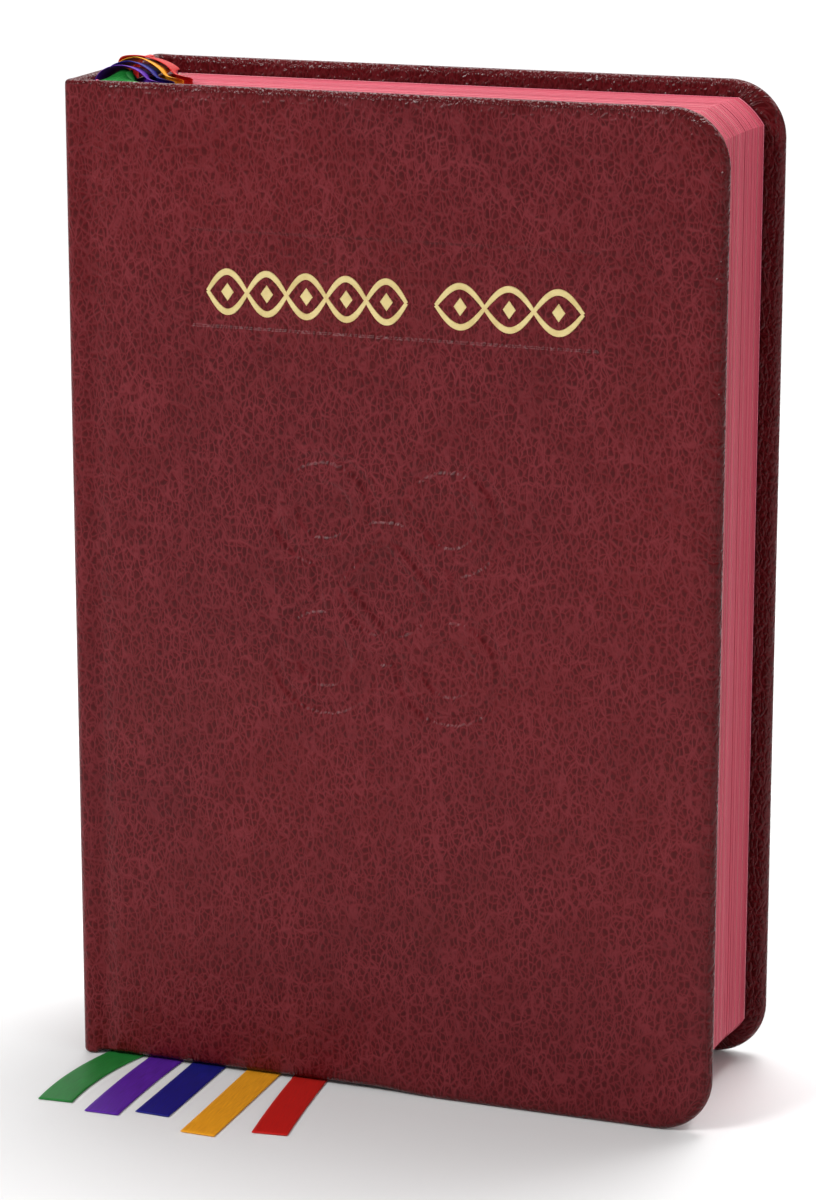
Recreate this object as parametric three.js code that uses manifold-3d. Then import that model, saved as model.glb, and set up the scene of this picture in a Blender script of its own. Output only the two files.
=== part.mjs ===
// A limp leather prayer book standing on its tail edge, with five ribbon markers.
// Millimetres. +X runs from the spine to the fore-edge, the front cover faces -Y, +Z is up.
// The origin is at the middle of the closed book's footprint.
import * as THREE from 'three';
import Module from 'manifold-3d';
import { mergeVertices } from 'three/addons/utils/BufferGeometryUtils.js';

const BOOK_HEIGHT = 178;
const BOOK_WIDTH = 118;
const BOOK_THICKNESS = 41;
const CLEARANCE = 0.3;

const SPINE_X = -BOOK_WIDTH / 2;
const FORE_X = BOOK_WIDTH / 2;
const FACE_Y = BOOK_THICKNESS / 2;

const COVER_CORNER_RADIUS = 10;
const SPINE_CORNER_RADIUS = 2;
const LEATHER = 1.1;
const COVER_DEPTH = 2.6;
const BOARD = 0.9;
const BOARD_SPINE_X = -52;
const PASTEDOWN = 0.3;
const PASTEDOWN_MARGIN = 5;
const HINGE_X = -56;
const INLAY = 0.5;

const GILT = 0.2;
const GILT_HEIGHT = 8.2;
const GILT_Z = 142.8;

const SQUARE = 3;
const PAGE_FORE_X = 55.5;
const PAGE_SPINE_X = -52.2;
const PAGE_CORNER = 4.5;
const PAGE_CORNER_BULGE = 0.5;
const BLOCK_THICKNESS = 33;
const SECTIONS = 14;
const MOVING_SECTIONS = 2;
const SPINE_ROUNDING = 1.5;
const FOLD_TAPER = 5;
const FOLD_THICKNESS = 0.3;
const FLYLEAF = 0.3;
const FLYLEAF_SPINE_X = -53;

const MULL = 0.3;
const LINING = 0.3;
const MULL_GAP = 0.5;
const BAND = 0.9;
const BAND_REACH = 11;

const RIBBON_WIDTH = 6.4;
const RIBBON_THICKNESS = 0.25;
const RIBBON_GAP = 0.85;
const RIBBON_SPINE_X = -56.1;
const RIBBON_GLUE_LENGTH = 14;
const RIBBON_PITCH = 3.4;
const RIBBON_TWIST_DELAY = 2.2;
const ARCH_REACH_X = 4;
const ARCH_HEIGHT = 0.7;

const LEATHER_COLOUR = 0x5c1419;
const CARD_COLOUR = 0x8d8478;
const PINK_COLOUR = 0xb7455a;
const PAPER_COLOUR = 0xefe6d2;
const CLOTH_COLOUR = 0xd9d4c4;
const GILT_COLOUR = 0xd0a247;

// The two gilt ornaments across the head of the front cover, from their left end to their right end.
const GILT_BARS = [
  { name: 'gilt_ornament_left', fromX: -32.5, toX: 3.6 },
  { name: 'gilt_ornament_right', fromX: 8.8, toX: 34.7 },
];

// One ribbon marker each: its colour, where it enters the head of the pages and leaves their tail,
// where it passes under the front cover, the middle of its cut end, and the top of its arch.
const RIBBONS = [
  { name: 'green', colour: 0x1d6b2a, headX: -48.9, tailX: -49.5, faceX: -51.6, end: [-54.2, -42.9], arch: 177.6 },
  { name: 'purple', colour: 0x4b1482, headX: -46.6, tailX: -42.4, faceX: -43.3, end: [-44.3, -45.3], arch: 177.9 },
  { name: 'blue', colour: 0x0f0a72, headX: -44.9, tailX: -34.4, faceX: -34.8, end: [-35.7, -42.9], arch: 178.2 },
  { name: 'gold', colour: 0xe09a17, headX: -43.4, tailX: -23.9, faceX: -24.2, end: [-24.9, -48.3], arch: 178.5 },
  { name: 'red', colour: 0xb3120a, headX: -42, tailX: -15.6, faceX: -15.1, end: [-13.1, -44.2], arch: 178.8 },
];

const wasm = await Module();
wasm.setup();

const book = new THREE.Group();
book.name = 'prayer_book';

function material(colour, roughness = 0.6, metalness = 0) {
  return new THREE.MeshStandardMaterial({ color: colour, roughness, metalness });
}

function addPiece(name, geometry, pieceMaterial) {
  const mesh = new THREE.Mesh(geometry, pieceMaterial);
  mesh.name = name;
  book.add(mesh);
}

function solid(geometry) {
  const bare = geometry.clone();
  bare.deleteAttribute('normal');
  bare.deleteAttribute('uv');
  const merged = mergeVertices(bare, 1e-4);
  const vertProperties = new Float32Array(merged.attributes.position.array);
  const triVerts = new Uint32Array(merged.index.array);
  return new wasm.Manifold(new wasm.Mesh({ numProp: 3, vertProperties, triVerts }));
}

function geometryOf(manifold) {
  const mesh = manifold.getMesh();
  const geometry = new THREE.BufferGeometry();
  geometry.setAttribute('position', new THREE.BufferAttribute(mesh.vertProperties, 3));
  geometry.setIndex(new THREE.BufferAttribute(mesh.triVerts, 1));
  return geometry;
}

// A flat plate whose outline is drawn in X and Z, from depth yLow to depth yHigh.
function plate(outline, yLow, yHigh) {
  const geometry = new THREE.ExtrudeGeometry(outline, {
    depth: yHigh - yLow,
    bevelEnabled: false,
    curveSegments: 8,
  });
  geometry.rotateX(Math.PI / 2);
  geometry.translate(0, yHigh, 0);
  return geometry;
}

// A piece with one plan shape, drawn in X and Y, from height zLow to height zHigh.
function column(plan, zLow, zHigh) {
  const geometry = new THREE.ExtrudeGeometry(plan, {
    depth: zHigh - zLow,
    bevelEnabled: false,
    curveSegments: 6,
  });
  geometry.translate(0, 0, zLow);
  return geometry;
}

// The same piece for the back half of the book, mirrored through the middle plane.
function mirrored(geometry) {
  const copy = geometry.index ? geometry.toNonIndexed() : geometry.clone();
  copy.deleteAttribute('normal');
  copy.deleteAttribute('uv');
  const position = copy.attributes.position;
  for (let i = 0; i < position.count; i += 3) {
    const first = new THREE.Vector3().fromBufferAttribute(position, i);
    const second = new THREE.Vector3().fromBufferAttribute(position, i + 1);
    const third = new THREE.Vector3().fromBufferAttribute(position, i + 2);
    position.setXYZ(i, first.x, -first.y, first.z);
    position.setXYZ(i + 1, third.x, -third.y, third.z);
    position.setXYZ(i + 2, second.x, -second.y, second.z);
  }
  return copy;
}

// A cover-shaped outline: square at the spine side, with round corners at the fore-edge.
function coverOutline(spineX, margin) {
  const radius = COVER_CORNER_RADIUS - margin;
  const foreX = FORE_X - margin;
  const top = BOOK_HEIGHT - margin;
  const outline = new THREE.Shape();
  outline.moveTo(spineX, margin);
  outline.lineTo(foreX - radius, margin);
  outline.absarc(foreX - radius, margin + radius, radius, -Math.PI / 2, 0, false);
  outline.absarc(foreX - radius, top - radius, radius, 0, Math.PI / 2, false);
  outline.lineTo(spineX, top);
  return outline;
}

// Covering leather of one cover: a face with its three edges turned up around the board.
function coverLeather() {
  const full = solid(plate(coverOutline(HINGE_X + CLEARANCE / 2, 0), -FACE_Y, -FACE_Y + COVER_DEPTH));
  const pocketOutline = coverOutline(SPINE_X, LEATHER);
  const pocket = solid(plate(pocketOutline, -FACE_Y + LEATHER, -FACE_Y + COVER_DEPTH + 1));
  return full.subtract(pocket);
}

// A bar with pointed ends, the plain outline of one gilt ornament, grown by a margin.
function giltOutline({ fromX, toX }, margin) {
  const half = GILT_HEIGHT / 2 + margin;
  const outline = new THREE.Shape();
  outline.moveTo(fromX - margin, GILT_Z);
  outline.lineTo(fromX - margin + half, GILT_Z - half);
  outline.lineTo(toX + margin - half, GILT_Z - half);
  outline.lineTo(toX + margin, GILT_Z);
  outline.lineTo(toX + margin - half, GILT_Z + half);
  outline.lineTo(fromX - margin + half, GILT_Z + half);
  return outline;
}

function giltOrnament(bar) {
  return plate(giltOutline(bar, 0), -FACE_Y, -FACE_Y + GILT);
}

// The front cover's tail edge is a little high near the spine, where the ribbons pass under it,
// and its face is sunk where the gilt ornaments are pressed in.
function frontLeather() {
  const arch = new THREE.BoxGeometry(ARCH_REACH_X - SPINE_X, BOOK_THICKNESS, 2 * ARCH_HEIGHT);
  arch.translate((ARCH_REACH_X + SPINE_X) / 2, -FACE_Y, 0);
  let body = coverLeather().subtract(solid(arch));
  for (const bar of GILT_BARS) {
    const sunk = plate(giltOutline(bar, CLEARANCE), -FACE_Y - 1, -FACE_Y + GILT + CLEARANCE);
    body = body.subtract(solid(sunk));
  }
  return geometryOf(body);
}

function spineLeather() {
  const returnX = HINGE_X - CLEARANCE / 2;
  const plan = new THREE.Shape();
  const radius = SPINE_CORNER_RADIUS;
  plan.moveTo(returnX, -FACE_Y);
  plan.lineTo(returnX, -FACE_Y + LEATHER);
  plan.lineTo(SPINE_X + LEATHER, -FACE_Y + LEATHER);
  plan.lineTo(SPINE_X + LEATHER, FACE_Y - LEATHER);
  plan.lineTo(returnX, FACE_Y - LEATHER);
  plan.lineTo(returnX, FACE_Y);
  plan.absarc(SPINE_X + radius, FACE_Y - radius, radius, Math.PI / 2, Math.PI, false);
  plan.absarc(SPINE_X + radius, -FACE_Y + radius, radius, Math.PI, 1.5 * Math.PI, false);
  return column(plan, 0, BOOK_HEIGHT);
}

function spineInlay() {
  const lowX = SPINE_X + LEATHER + CLEARANCE;
  const reach = FACE_Y - LEATHER - CLEARANCE;
  const height = BOOK_HEIGHT - 2 * LEATHER;
  const geometry = new THREE.BoxGeometry(INLAY, 2 * reach, height);
  geometry.translate(lowX + INLAY / 2, 0, BOOK_HEIGHT / 2);
  return geometry;
}

function coverBoard() {
  const low = -FACE_Y + LEATHER + CLEARANCE;
  return plate(coverOutline(BOARD_SPINE_X, LEATHER + CLEARANCE), low, low + BOARD);
}

function pastedown() {
  const low = -FACE_Y + LEATHER + CLEARANCE + BOARD + CLEARANCE;
  return plate(coverOutline(HINGE_X + 2.5, PASTEDOWN_MARGIN), low, low + PASTEDOWN);
}

// How far the rounded back carries the fold of a leaf at this depth towards the spine.
function rounding(y) {
  const reach = BLOCK_THICKNESS / 2;
  return SPINE_ROUNDING * (1 - (y / reach) ** 2);
}

// The outline of a leaf: square at the fold, with shallow cut corners at the fore-edge.
function leafOutline(spineX, foreX) {
  const low = SQUARE;
  const high = BOOK_HEIGHT - SQUARE;
  const cut = PAGE_CORNER;
  const bulge = PAGE_CORNER_BULGE + cut / 2;
  const outline = new THREE.Shape();
  outline.moveTo(spineX, low);
  outline.lineTo(foreX - cut, low);
  outline.quadraticCurveTo(foreX - cut + bulge, low + cut - bulge, foreX, low + cut);
  outline.lineTo(foreX, high - cut);
  outline.quadraticCurveTo(foreX - cut + bulge, high - cut + bulge, foreX - cut, high);
  outline.lineTo(spineX, high);
  return outline;
}

// The depth at which every section starts; the openings that hold a ribbon are wider.
function sectionLayout() {
  const ribbonGaps = RIBBONS.length;
  const plainGaps = SECTIONS - 1 - ribbonGaps;
  const thickness = (BLOCK_THICKNESS - plainGaps * CLEARANCE - ribbonGaps * RIBBON_GAP) / SECTIONS;
  const sections = [];
  const openings = [];
  let y = -BLOCK_THICKNESS / 2;
  for (let i = 0; i < SECTIONS; i += 1) {
    sections.push({ low: y, high: y + thickness });
    const holdsRibbon = i >= MOVING_SECTIONS - 1 && i < MOVING_SECTIONS - 1 + ribbonGaps;
    const gap = holdsRibbon ? RIBBON_GAP : CLEARANCE;
    if (holdsRibbon) {
      openings.push(y + thickness + gap / 2);
    }
    y += thickness + gap;
  }
  return { sections, openings };
}

function pageSection({ low, high }) {
  const shift = rounding((low + high) / 2);
  return plate(leafOutline(PAGE_SPINE_X - shift, PAGE_FORE_X - shift), low, high);
}

// A section that turns thins towards its fold on the side away from its cover.
function turningSection({ low, high }, side) {
  const shift = rounding((low + high) / 2);
  const foldX = PAGE_SPINE_X - shift;
  const hingeY = side < 0 ? low : high;
  const freeY = side < 0 ? high : low;
  const inward = -side;
  const wedge = new THREE.Shape();
  wedge.moveTo(foldX - 1, freeY + inward);
  wedge.lineTo(foldX - 1, hingeY + inward * FOLD_THICKNESS);
  wedge.lineTo(foldX, hingeY + inward * FOLD_THICKNESS);
  wedge.lineTo(foldX + FOLD_TAPER, freeY);
  wedge.lineTo(foldX + FOLD_TAPER, freeY + inward);
  const body = solid(pageSection({ low, high }));
  return geometryOf(body.subtract(solid(column(wedge, 0, BOOK_HEIGHT))));
}

function flyleaf() {
  const high = -BLOCK_THICKNESS / 2 - CLEARANCE - 0.1;
  return plate(leafOutline(FLYLEAF_SPINE_X, PAGE_FORE_X), high - FLYLEAF, high);
}

// A thin layer that follows the rounded back of the pages.
function backLayer(offset, thickness, reach, zLow, zHigh) {
  const steps = 12;
  const plan = new THREE.Shape();
  for (let i = 0; i <= steps; i += 1) {
    const y = -reach + (2 * reach * i) / steps;
    plan[i ? 'lineTo' : 'moveTo'](PAGE_SPINE_X - rounding(y) - offset, y);
  }
  for (let i = steps; i >= 0; i -= 1) {
    const y = -reach + (2 * reach * i) / steps;
    plan.lineTo(PAGE_SPINE_X - rounding(y) - offset - thickness, y);
  }
  return column(plan, zLow, zHigh);
}

// The path and the turned width of one ribbon: glued at the back, over the head,
// down between two sections, out at the tail and forward along the table.
function ribbonRings(ribbon, index, openingY) {
  const glueY = -3 * RIBBON_PITCH + index * RIBBON_PITCH;
  const head = BOOK_HEIGHT - SQUARE;
  const tilt = Math.asin((RIBBON_THICKNESS + CLEARANCE + 0.05) / RIBBON_PITCH);
  const rings = [];
  const gluedWidth = new THREE.Vector3(-Math.sin(tilt), Math.cos(tilt), 0);
  for (let i = 0; i < 3; i += 1) {
    const z = head - RIBBON_GLUE_LENGTH + (i * RIBBON_GLUE_LENGTH) / 3;
    rings.push({ at: new THREE.Vector3(RIBBON_SPINE_X, glueY, z), width: gluedWidth.clone() });
  }
  const from = new THREE.Vector3(RIBBON_SPINE_X, glueY, head);
  const to = new THREE.Vector3(ribbon.headX, openingY, head);
  const archSteps = 16;
  for (let i = 0; i <= archSteps; i += 1) {
    const t = i / archSteps;
    const angle = Math.PI * t;
    const across = (1 - Math.cos(angle)) / 2;
    const at = from.clone().lerp(to, across);
    at.z = head + (ribbon.arch - head) * Math.sin(angle) ** 0.8;
    const outward = new THREE.Vector3(-Math.cos(angle), 0, Math.sin(angle));
    const turn = tilt + (Math.PI / 2 - tilt) * t ** RIBBON_TWIST_DELAY;
    const width = new THREE.Vector3(0, Math.cos(turn), 0);
    width.addScaledVector(outward, Math.sin(turn));
    rings.push({ at, width });
  }
  const runSteps = 8;
  const acrossPage = new THREE.Vector3(1, 0, 0);
  for (let i = 1; i <= runSteps; i += 1) {
    const t = i / runSteps;
    const x = THREE.MathUtils.lerp(ribbon.headX, ribbon.tailX, t * t * (3 - 2 * t));
    const z = THREE.MathUtils.lerp(head, SQUARE, t);
    rings.push({ at: new THREE.Vector3(x, openingY, z), width: acrossPage.clone() });
  }
  const restZ = RIBBON_THICKNESS / 2 + 0.06;
  const bend = SQUARE - restZ;
  const bendSteps = 5;
  for (let i = 1; i <= bendSteps; i += 1) {
    const angle = (Math.PI / 2) * (i / bendSteps);
    const y = openingY - bend * (1 - Math.cos(angle));
    const z = SQUARE - bend * Math.sin(angle);
    rings.push({ at: new THREE.Vector3(ribbon.tailX, y, z), width: acrossPage.clone() });
  }
  const lying = new THREE.CatmullRomCurve3([
    rings[rings.length - 1].at,
    new THREE.Vector3(ribbon.faceX, -FACE_Y, restZ),
    new THREE.Vector3(ribbon.end[0], ribbon.end[1], restZ),
  ]);
  const lieSteps = 8;
  for (let i = 1; i <= lieSteps; i += 1) {
    rings.push({ at: lying.getPoint(i / lieSteps), width: acrossPage.clone() });
  }
  return rings;
}

// A flat strip through the rings, closed at both ends.
function strip(rings) {
  const points = [];
  const faces = [];
  rings.forEach((ring, i) => {
    const before = rings[Math.max(i - 1, 0)].at;
    const after = rings[Math.min(i + 1, rings.length - 1)].at;
    const tangent = after.clone().sub(before).normalize();
    const width = ring.width.clone();
    width.addScaledVector(tangent, -width.dot(tangent)).normalize();
    const normal = new THREE.Vector3().crossVectors(tangent, width).normalize();
    [[-1, -1], [1, -1], [1, 1], [-1, 1]].forEach(([a, b]) => {
      const corner = ring.at.clone();
      corner.addScaledVector(width, (a * RIBBON_WIDTH) / 2);
      corner.addScaledVector(normal, (b * RIBBON_THICKNESS) / 2);
      points.push(corner.x, corner.y, corner.z);
    });
    if (i > 0) {
      const low = 4 * (i - 1);
      for (let k = 0; k < 4; k += 1) {
        const next = (k + 1) % 4;
        faces.push(low + k, low + next, low + 4 + next);
        faces.push(low + k, low + 4 + next, low + 4 + k);
      }
    }
  });
  const last = 4 * (rings.length - 1);
  faces.push(0, 2, 1, 0, 3, 2);
  faces.push(last, last + 1, last + 2, last, last + 2, last + 3);
  const geometry = new THREE.BufferGeometry();
  geometry.setAttribute('position', new THREE.Float32BufferAttribute(points, 3));
  geometry.setIndex(faces);
  return geometry;
}

function headband(z) {
  return backLayer(-BAND - 0.1, BAND, BAND_REACH, z, z + BAND);
}

const leather = () => material(LEATHER_COLOUR, 0.45);
const card = () => material(CARD_COLOUR, 0.9);
const pink = () => material(PINK_COLOUR, 0.7);

addPiece('front_cover_leather', frontLeather(), leather());
addPiece('back_cover_leather', mirrored(geometryOf(coverLeather())), leather());
addPiece('spine_leather', spineLeather(), leather());
for (const bar of GILT_BARS) {
  addPiece(bar.name, giltOrnament(bar), material(GILT_COLOUR, 0.3, 1));
}
addPiece('front_board', coverBoard(), card());
addPiece('back_board', mirrored(coverBoard()), card());
addPiece('spine_inlay', spineInlay(), card());
addPiece('front_pastedown', pastedown(), pink());
addPiece('back_pastedown', mirrored(pastedown()), pink());
addPiece('front_flyleaf', flyleaf(), pink());
addPiece('back_flyleaf', mirrored(flyleaf()), pink());

const layout = sectionLayout();
layout.sections.forEach((section, i) => {
  const name = `page_section_${String(i + 1).padStart(2, '0')}`;
  if (i < MOVING_SECTIONS) {
    addPiece(name, turningSection(section, -1), material(PAPER_COLOUR, 0.8));
  } else if (i >= SECTIONS - MOVING_SECTIONS) {
    addPiece(name, turningSection(section, 1), material(PAPER_COLOUR, 0.8));
  } else {
    addPiece(name, pageSection(section), material(PAPER_COLOUR, 0.8));
  }
});

const pageLow = SQUARE;
const pageHigh = BOOK_HEIGHT - SQUARE;
const backReach = BLOCK_THICKNESS / 2;
addPiece('mull', backLayer(MULL_GAP, MULL, backReach, pageLow + 6, pageHigh - 6), material(CLOTH_COLOUR, 0.9));
const liningOffset = MULL_GAP + MULL + CLEARANCE;
addPiece('spine_lining', backLayer(liningOffset, LINING, backReach, pageLow, pageHigh), pink());
addPiece('headband', headband(pageHigh + CLEARANCE), material(CLOTH_COLOUR, 0.8));
addPiece('tailband', headband(pageLow - CLEARANCE - BAND), material(CLOTH_COLOUR, 0.8));

RIBBONS.forEach((ribbon, i) => {
  const rings = ribbonRings(ribbon, i, layout.openings[i]);
  addPiece(`ribbon_${ribbon.name}`, strip(rings), material(ribbon.colour, 0.4));
});

export default book;
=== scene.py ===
import math

import bmesh
import bpy
import numpy as np
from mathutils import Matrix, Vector


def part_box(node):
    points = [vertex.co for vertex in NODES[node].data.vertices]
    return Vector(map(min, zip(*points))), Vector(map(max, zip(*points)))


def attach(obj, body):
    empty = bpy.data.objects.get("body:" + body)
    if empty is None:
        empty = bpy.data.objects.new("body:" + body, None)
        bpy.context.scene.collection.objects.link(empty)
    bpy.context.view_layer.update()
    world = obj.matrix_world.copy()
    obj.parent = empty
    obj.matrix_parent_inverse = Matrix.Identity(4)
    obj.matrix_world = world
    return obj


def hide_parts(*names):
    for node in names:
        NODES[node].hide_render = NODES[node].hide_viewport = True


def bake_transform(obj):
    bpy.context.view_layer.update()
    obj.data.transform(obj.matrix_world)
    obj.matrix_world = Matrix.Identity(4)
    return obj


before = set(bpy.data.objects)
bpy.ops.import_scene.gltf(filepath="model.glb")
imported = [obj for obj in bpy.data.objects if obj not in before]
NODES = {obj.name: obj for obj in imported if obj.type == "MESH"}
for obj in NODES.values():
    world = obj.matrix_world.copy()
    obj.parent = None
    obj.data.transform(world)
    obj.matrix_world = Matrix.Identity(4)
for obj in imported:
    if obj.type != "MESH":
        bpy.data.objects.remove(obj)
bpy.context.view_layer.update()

MM = 0.001
rng = np.random.default_rng(7)

# ---------------- sizes, in millimetres


def box_mm(node):
    low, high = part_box(node)
    return np.array(low) / MM, np.array(high) / MM


def section_box(number):
    return box_mm("page_section_%02d" % number)


COVER_LOW, COVER_HIGH = box_mm("front_cover_leather")
SPINE_LOW, SPINE_HIGH = box_mm("spine_leather")
PAGE_LOW, PAGE_HIGH = box_mm("front_flyleaf")
HEIGHT = SPINE_HIGH[2]
FORE_X = COVER_HIGH[0]
SPINE_X = SPINE_LOW[0]
FACE_Y = SPINE_HIGH[1]
COVER_THICK = COVER_HIGH[1] - COVER_LOW[1]
COVER_CORNER = 10.0
SPINE_CORNER = 1.7
LEATHER = 1.0
JOINT_THICK = 1.5
SPINE_THICK = 2.2
CORNER_THICK = 1.6
SEAM_GAP = 0.04
PAGE_CORNER = 4.5
SECTIONS = 14
MOVING_SECTIONS = 2
SPINE_ROUNDING = 1.5
BLOCK_HALF = 16.5
PAGE_FOLD_X = -52.2
HEAD_Z = PAGE_HIGH[2]
TAIL_Z = PAGE_LOW[2]


# ---------------- mesh helpers


def make_object(name, points, faces, smooth=True):
    mesh = bpy.data.meshes.new(name)
    mesh.from_pydata([tuple(p) for p in np.asarray(points) * MM], [], faces)
    mesh.update()
    if smooth:
        mesh.polygons.foreach_set("use_smooth", [True] * len(mesh.polygons))
    obj = bpy.data.objects.new(name, mesh)
    bpy.context.scene.collection.objects.link(obj)
    return obj


def point_vector(obj, name, values):
    layer = obj.data.attributes.new(name, "FLOAT_VECTOR", "POINT")
    layer.data.foreach_set("vector", np.asarray(values, np.float32).ravel())


def point_value(obj, name, values):
    layer = obj.data.attributes.new(name, "FLOAT", "POINT")
    layer.data.foreach_set("value", np.asarray(values, np.float32).ravel())


def smoothstep(low, high, value):
    t = np.clip((value - low) / (high - low), 0.0, 1.0)
    return t * t * (3 - 2 * t)


def unit(vectors):
    return vectors / np.linalg.norm(vectors, axis=1)[:, None]


def strip(first, second):
    """Four-cornered faces between two rows of point numbers."""
    return list(zip(first[:-1], first[1:], second[1:], second[:-1]))


def tube_faces(rings, count):
    """Four-cornered faces that join each ring of points to the next one."""
    faces = []
    for ring in range(rings - 1):
        low, high = ring * count, (ring + 1) * count
        for k in range(count):
            following = (k + 1) % count
            faces.append((low + k, low + following, high + following, high + k))
    return faces


def end_caps(rings, count):
    """The two faces that close a tube."""
    last = (rings - 1) * count
    return [tuple(range(count))[::-1], tuple(range(last, last + count))]


def outward(obj):
    """Turns the faces of every closed shell outwards, judged by the volume that it encloses."""
    work = bmesh.new()
    work.from_mesh(obj.data)
    bmesh.ops.recalc_face_normals(work, faces=work.faces)
    waiting = set(work.faces)
    while waiting:
        first = waiting.pop()
        shell, queue = [first], [first]
        while queue:
            face = queue.pop()
            for edge in face.edges:
                for other in edge.link_faces:
                    if other in waiting:
                        waiting.remove(other)
                        shell.append(other)
                        queue.append(other)
        middle = first.verts[0].co
        volume = 0.0
        for face in shell:
            corners = [v.co - middle for v in face.verts]
            for k in range(1, len(corners) - 1):
                volume += corners[0].dot(corners[k].cross(corners[k + 1]))
        if volume < 0:
            bmesh.ops.reverse_faces(work, faces=shell)
    work.to_mesh(obj.data)
    work.free()


# ---------------- node helpers


class Nodes:
    """A material's node tree, with short calls for the nodes that the finishes use."""

    def __init__(self, name):
        self.material = bpy.data.materials.new(name)
        self.material.use_nodes = True
        self.tree = self.material.node_tree
        self.tree.nodes.clear()
        self.output = self.tree.nodes.new("ShaderNodeOutputMaterial")
        self.shader = self.tree.nodes.new("ShaderNodeBsdfPrincipled")
        self.link(self.shader.outputs["BSDF"], self.output.inputs["Surface"])

    def link(self, source, target):
        self.tree.links.new(source, target)

    def feed(self, socket, value):
        if isinstance(value, bpy.types.NodeSocket):
            self.link(value, socket)
        else:
            socket.default_value = value

    def make(self, kind, vector=None, **inputs):
        """A new node with these input values, fed by the vector when there is one."""
        node = self.tree.nodes.new("ShaderNode" + kind)
        for name, value in inputs.items():
            node.inputs[name].default_value = value
        if vector is not None:
            self.link(vector, node.inputs["Vector"])
        return node

    def attribute(self, name, output="Vector"):
        node = self.make("Attribute")
        node.attribute_name = name
        return node.outputs[output]

    def place(self):
        return self.make("TexCoord").outputs["Object"]

    def scaled(self, vector, scale):
        return self.make("Mapping", vector, Scale=scale).outputs["Vector"]

    def noise(self, vector, scale, detail=3.0, rough=0.55):
        return self.make("TexNoise", vector, Scale=scale, Detail=detail, Roughness=rough).outputs["Fac"]

    def noise_colour(self, vector, scale, detail=2.0):
        return self.make("TexNoise", vector, Scale=scale, Detail=detail).outputs["Color"]

    def cells(self, vector, scale):
        node = self.make("TexVoronoi", vector, Scale=scale)
        node.feature = "DISTANCE_TO_EDGE"
        return node.outputs["Distance"]

    def wave(self, vector, scale, distortion, direction):
        node = self.make("TexWave", vector, Scale=scale, Distortion=distortion)
        node.bands_direction = direction
        return node.outputs["Fac"]

    def maths(self, operation, a, b=0.0, c=0.0):
        node = self.make("Math")
        node.operation = operation
        for socket, value in zip(node.inputs, (a, b, c)):
            self.feed(socket, value)
        return node.outputs[0]

    def times(self, a, b):
        return self.maths("MULTIPLY", a, b)

    def between(self, value, low, high, to_low=0.0, to_high=1.0):
        node = self.make("MapRange")
        node.interpolation_type = "SMOOTHSTEP"
        given = {"Value": value, "From Min": low, "From Max": high, "To Min": to_low, "To Max": to_high}
        for name, number in given.items():
            self.feed(node.inputs[name], number)
        return node.outputs["Result"]

    def mix(self, amount, a, b):
        node = self.make("Mix")
        node.data_type = "RGBA"
        self.feed(node.inputs[0], amount)
        self.feed(node.inputs[6], a if not isinstance(a, tuple) else (*a, 1.0))
        self.feed(node.inputs[7], b if not isinstance(b, tuple) else (*b, 1.0))
        return node.outputs[2]

    def shifted(self, vector, offset, amount):
        scale = self.make("VectorMath")
        scale.operation = "SCALE"
        scale.inputs["Scale"].default_value = amount
        self.link(offset, scale.inputs[0])
        add = self.make("VectorMath")
        self.link(vector, add.inputs[0])
        self.link(scale.outputs[0], add.inputs[1])
        return add.outputs[0]

    def bump(self, height, distance, strength, normal=None):
        node = self.make("Bump", Distance=distance, Strength=strength)
        self.link(height, node.inputs["Height"])
        if normal is not None:
            self.link(normal, node.inputs["Normal"])
        return node.outputs["Normal"]

    def finish(self, colour, rough, normal=None, **constants):
        self.feed(self.shader.inputs["Base Color"], colour)
        self.feed(self.shader.inputs["Roughness"], rough)
        if normal is not None:
            self.link(normal, self.shader.inputs["Normal"])
        for name, value in constants.items():
            self.shader.inputs[name.replace("_", " ")].default_value = value
        return self.material


# ---------------- finishes


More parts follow.
